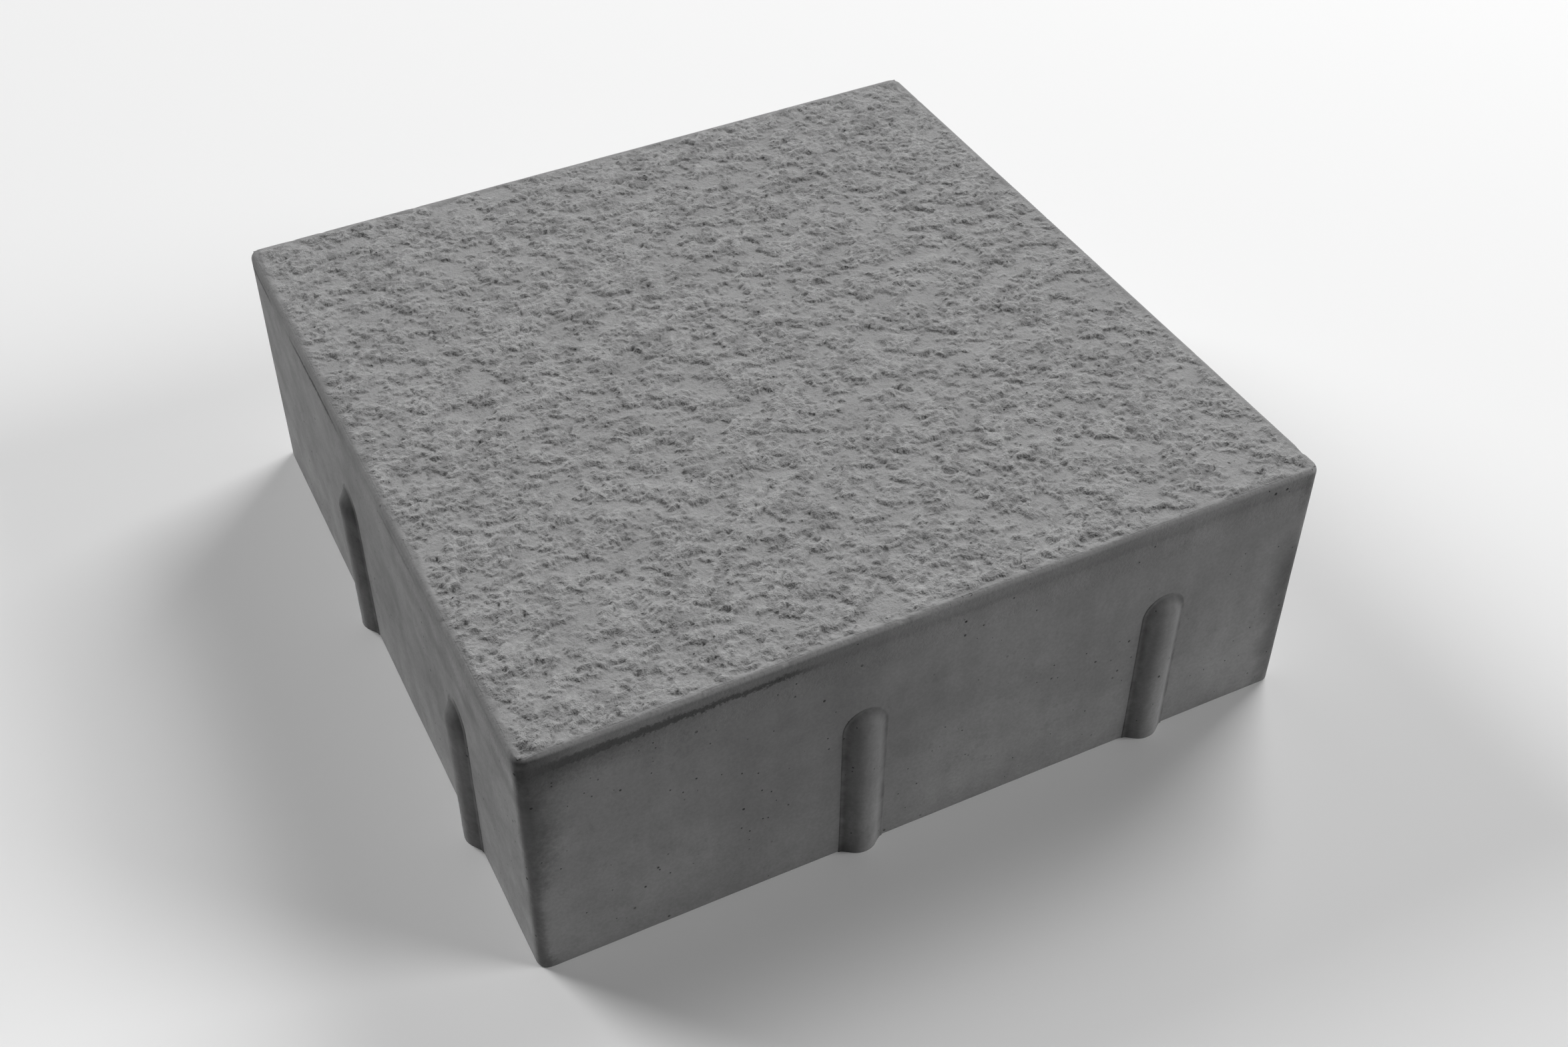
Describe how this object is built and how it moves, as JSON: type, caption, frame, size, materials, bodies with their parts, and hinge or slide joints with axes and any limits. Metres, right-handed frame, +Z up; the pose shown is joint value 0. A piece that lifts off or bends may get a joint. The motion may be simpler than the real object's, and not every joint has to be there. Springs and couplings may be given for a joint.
{
  "type": "concrete paving block",
  "caption": "Square concrete paving block with a rough stone-textured wearing face, a rounded upper edge and upright half-round spacer nibs on its four sides.",
  "frame": {"origin": "middle of the bed face, the flat underside that lies on the sand", "axes": "+Z up through the wearing face, -Y out of the front side, +X out of the right side"},
  "size_m": [0.2, 0.2, 0.07],
  "materials": {
    "backing_concrete": "matte",
    "face_concrete": "matte",
    "nib_concrete": "matte"
  },
  "bodies": {
    "root": {"core_block": "backing_concrete", "face_layer": "face_concrete", "spacer_nib_front_1": "nib_concrete", "spacer_nib_front_2": "nib_concrete", "spacer_nib_right_1": "nib_concrete", "spacer_nib_right_2": "nib_concrete", "spacer_nib_back_1": "nib_concrete", "spacer_nib_back_2": "nib_concrete", "spacer_nib_left_1": "nib_concrete", "spacer_nib_left_2": "nib_concrete"}
  },
  "joints": []
}
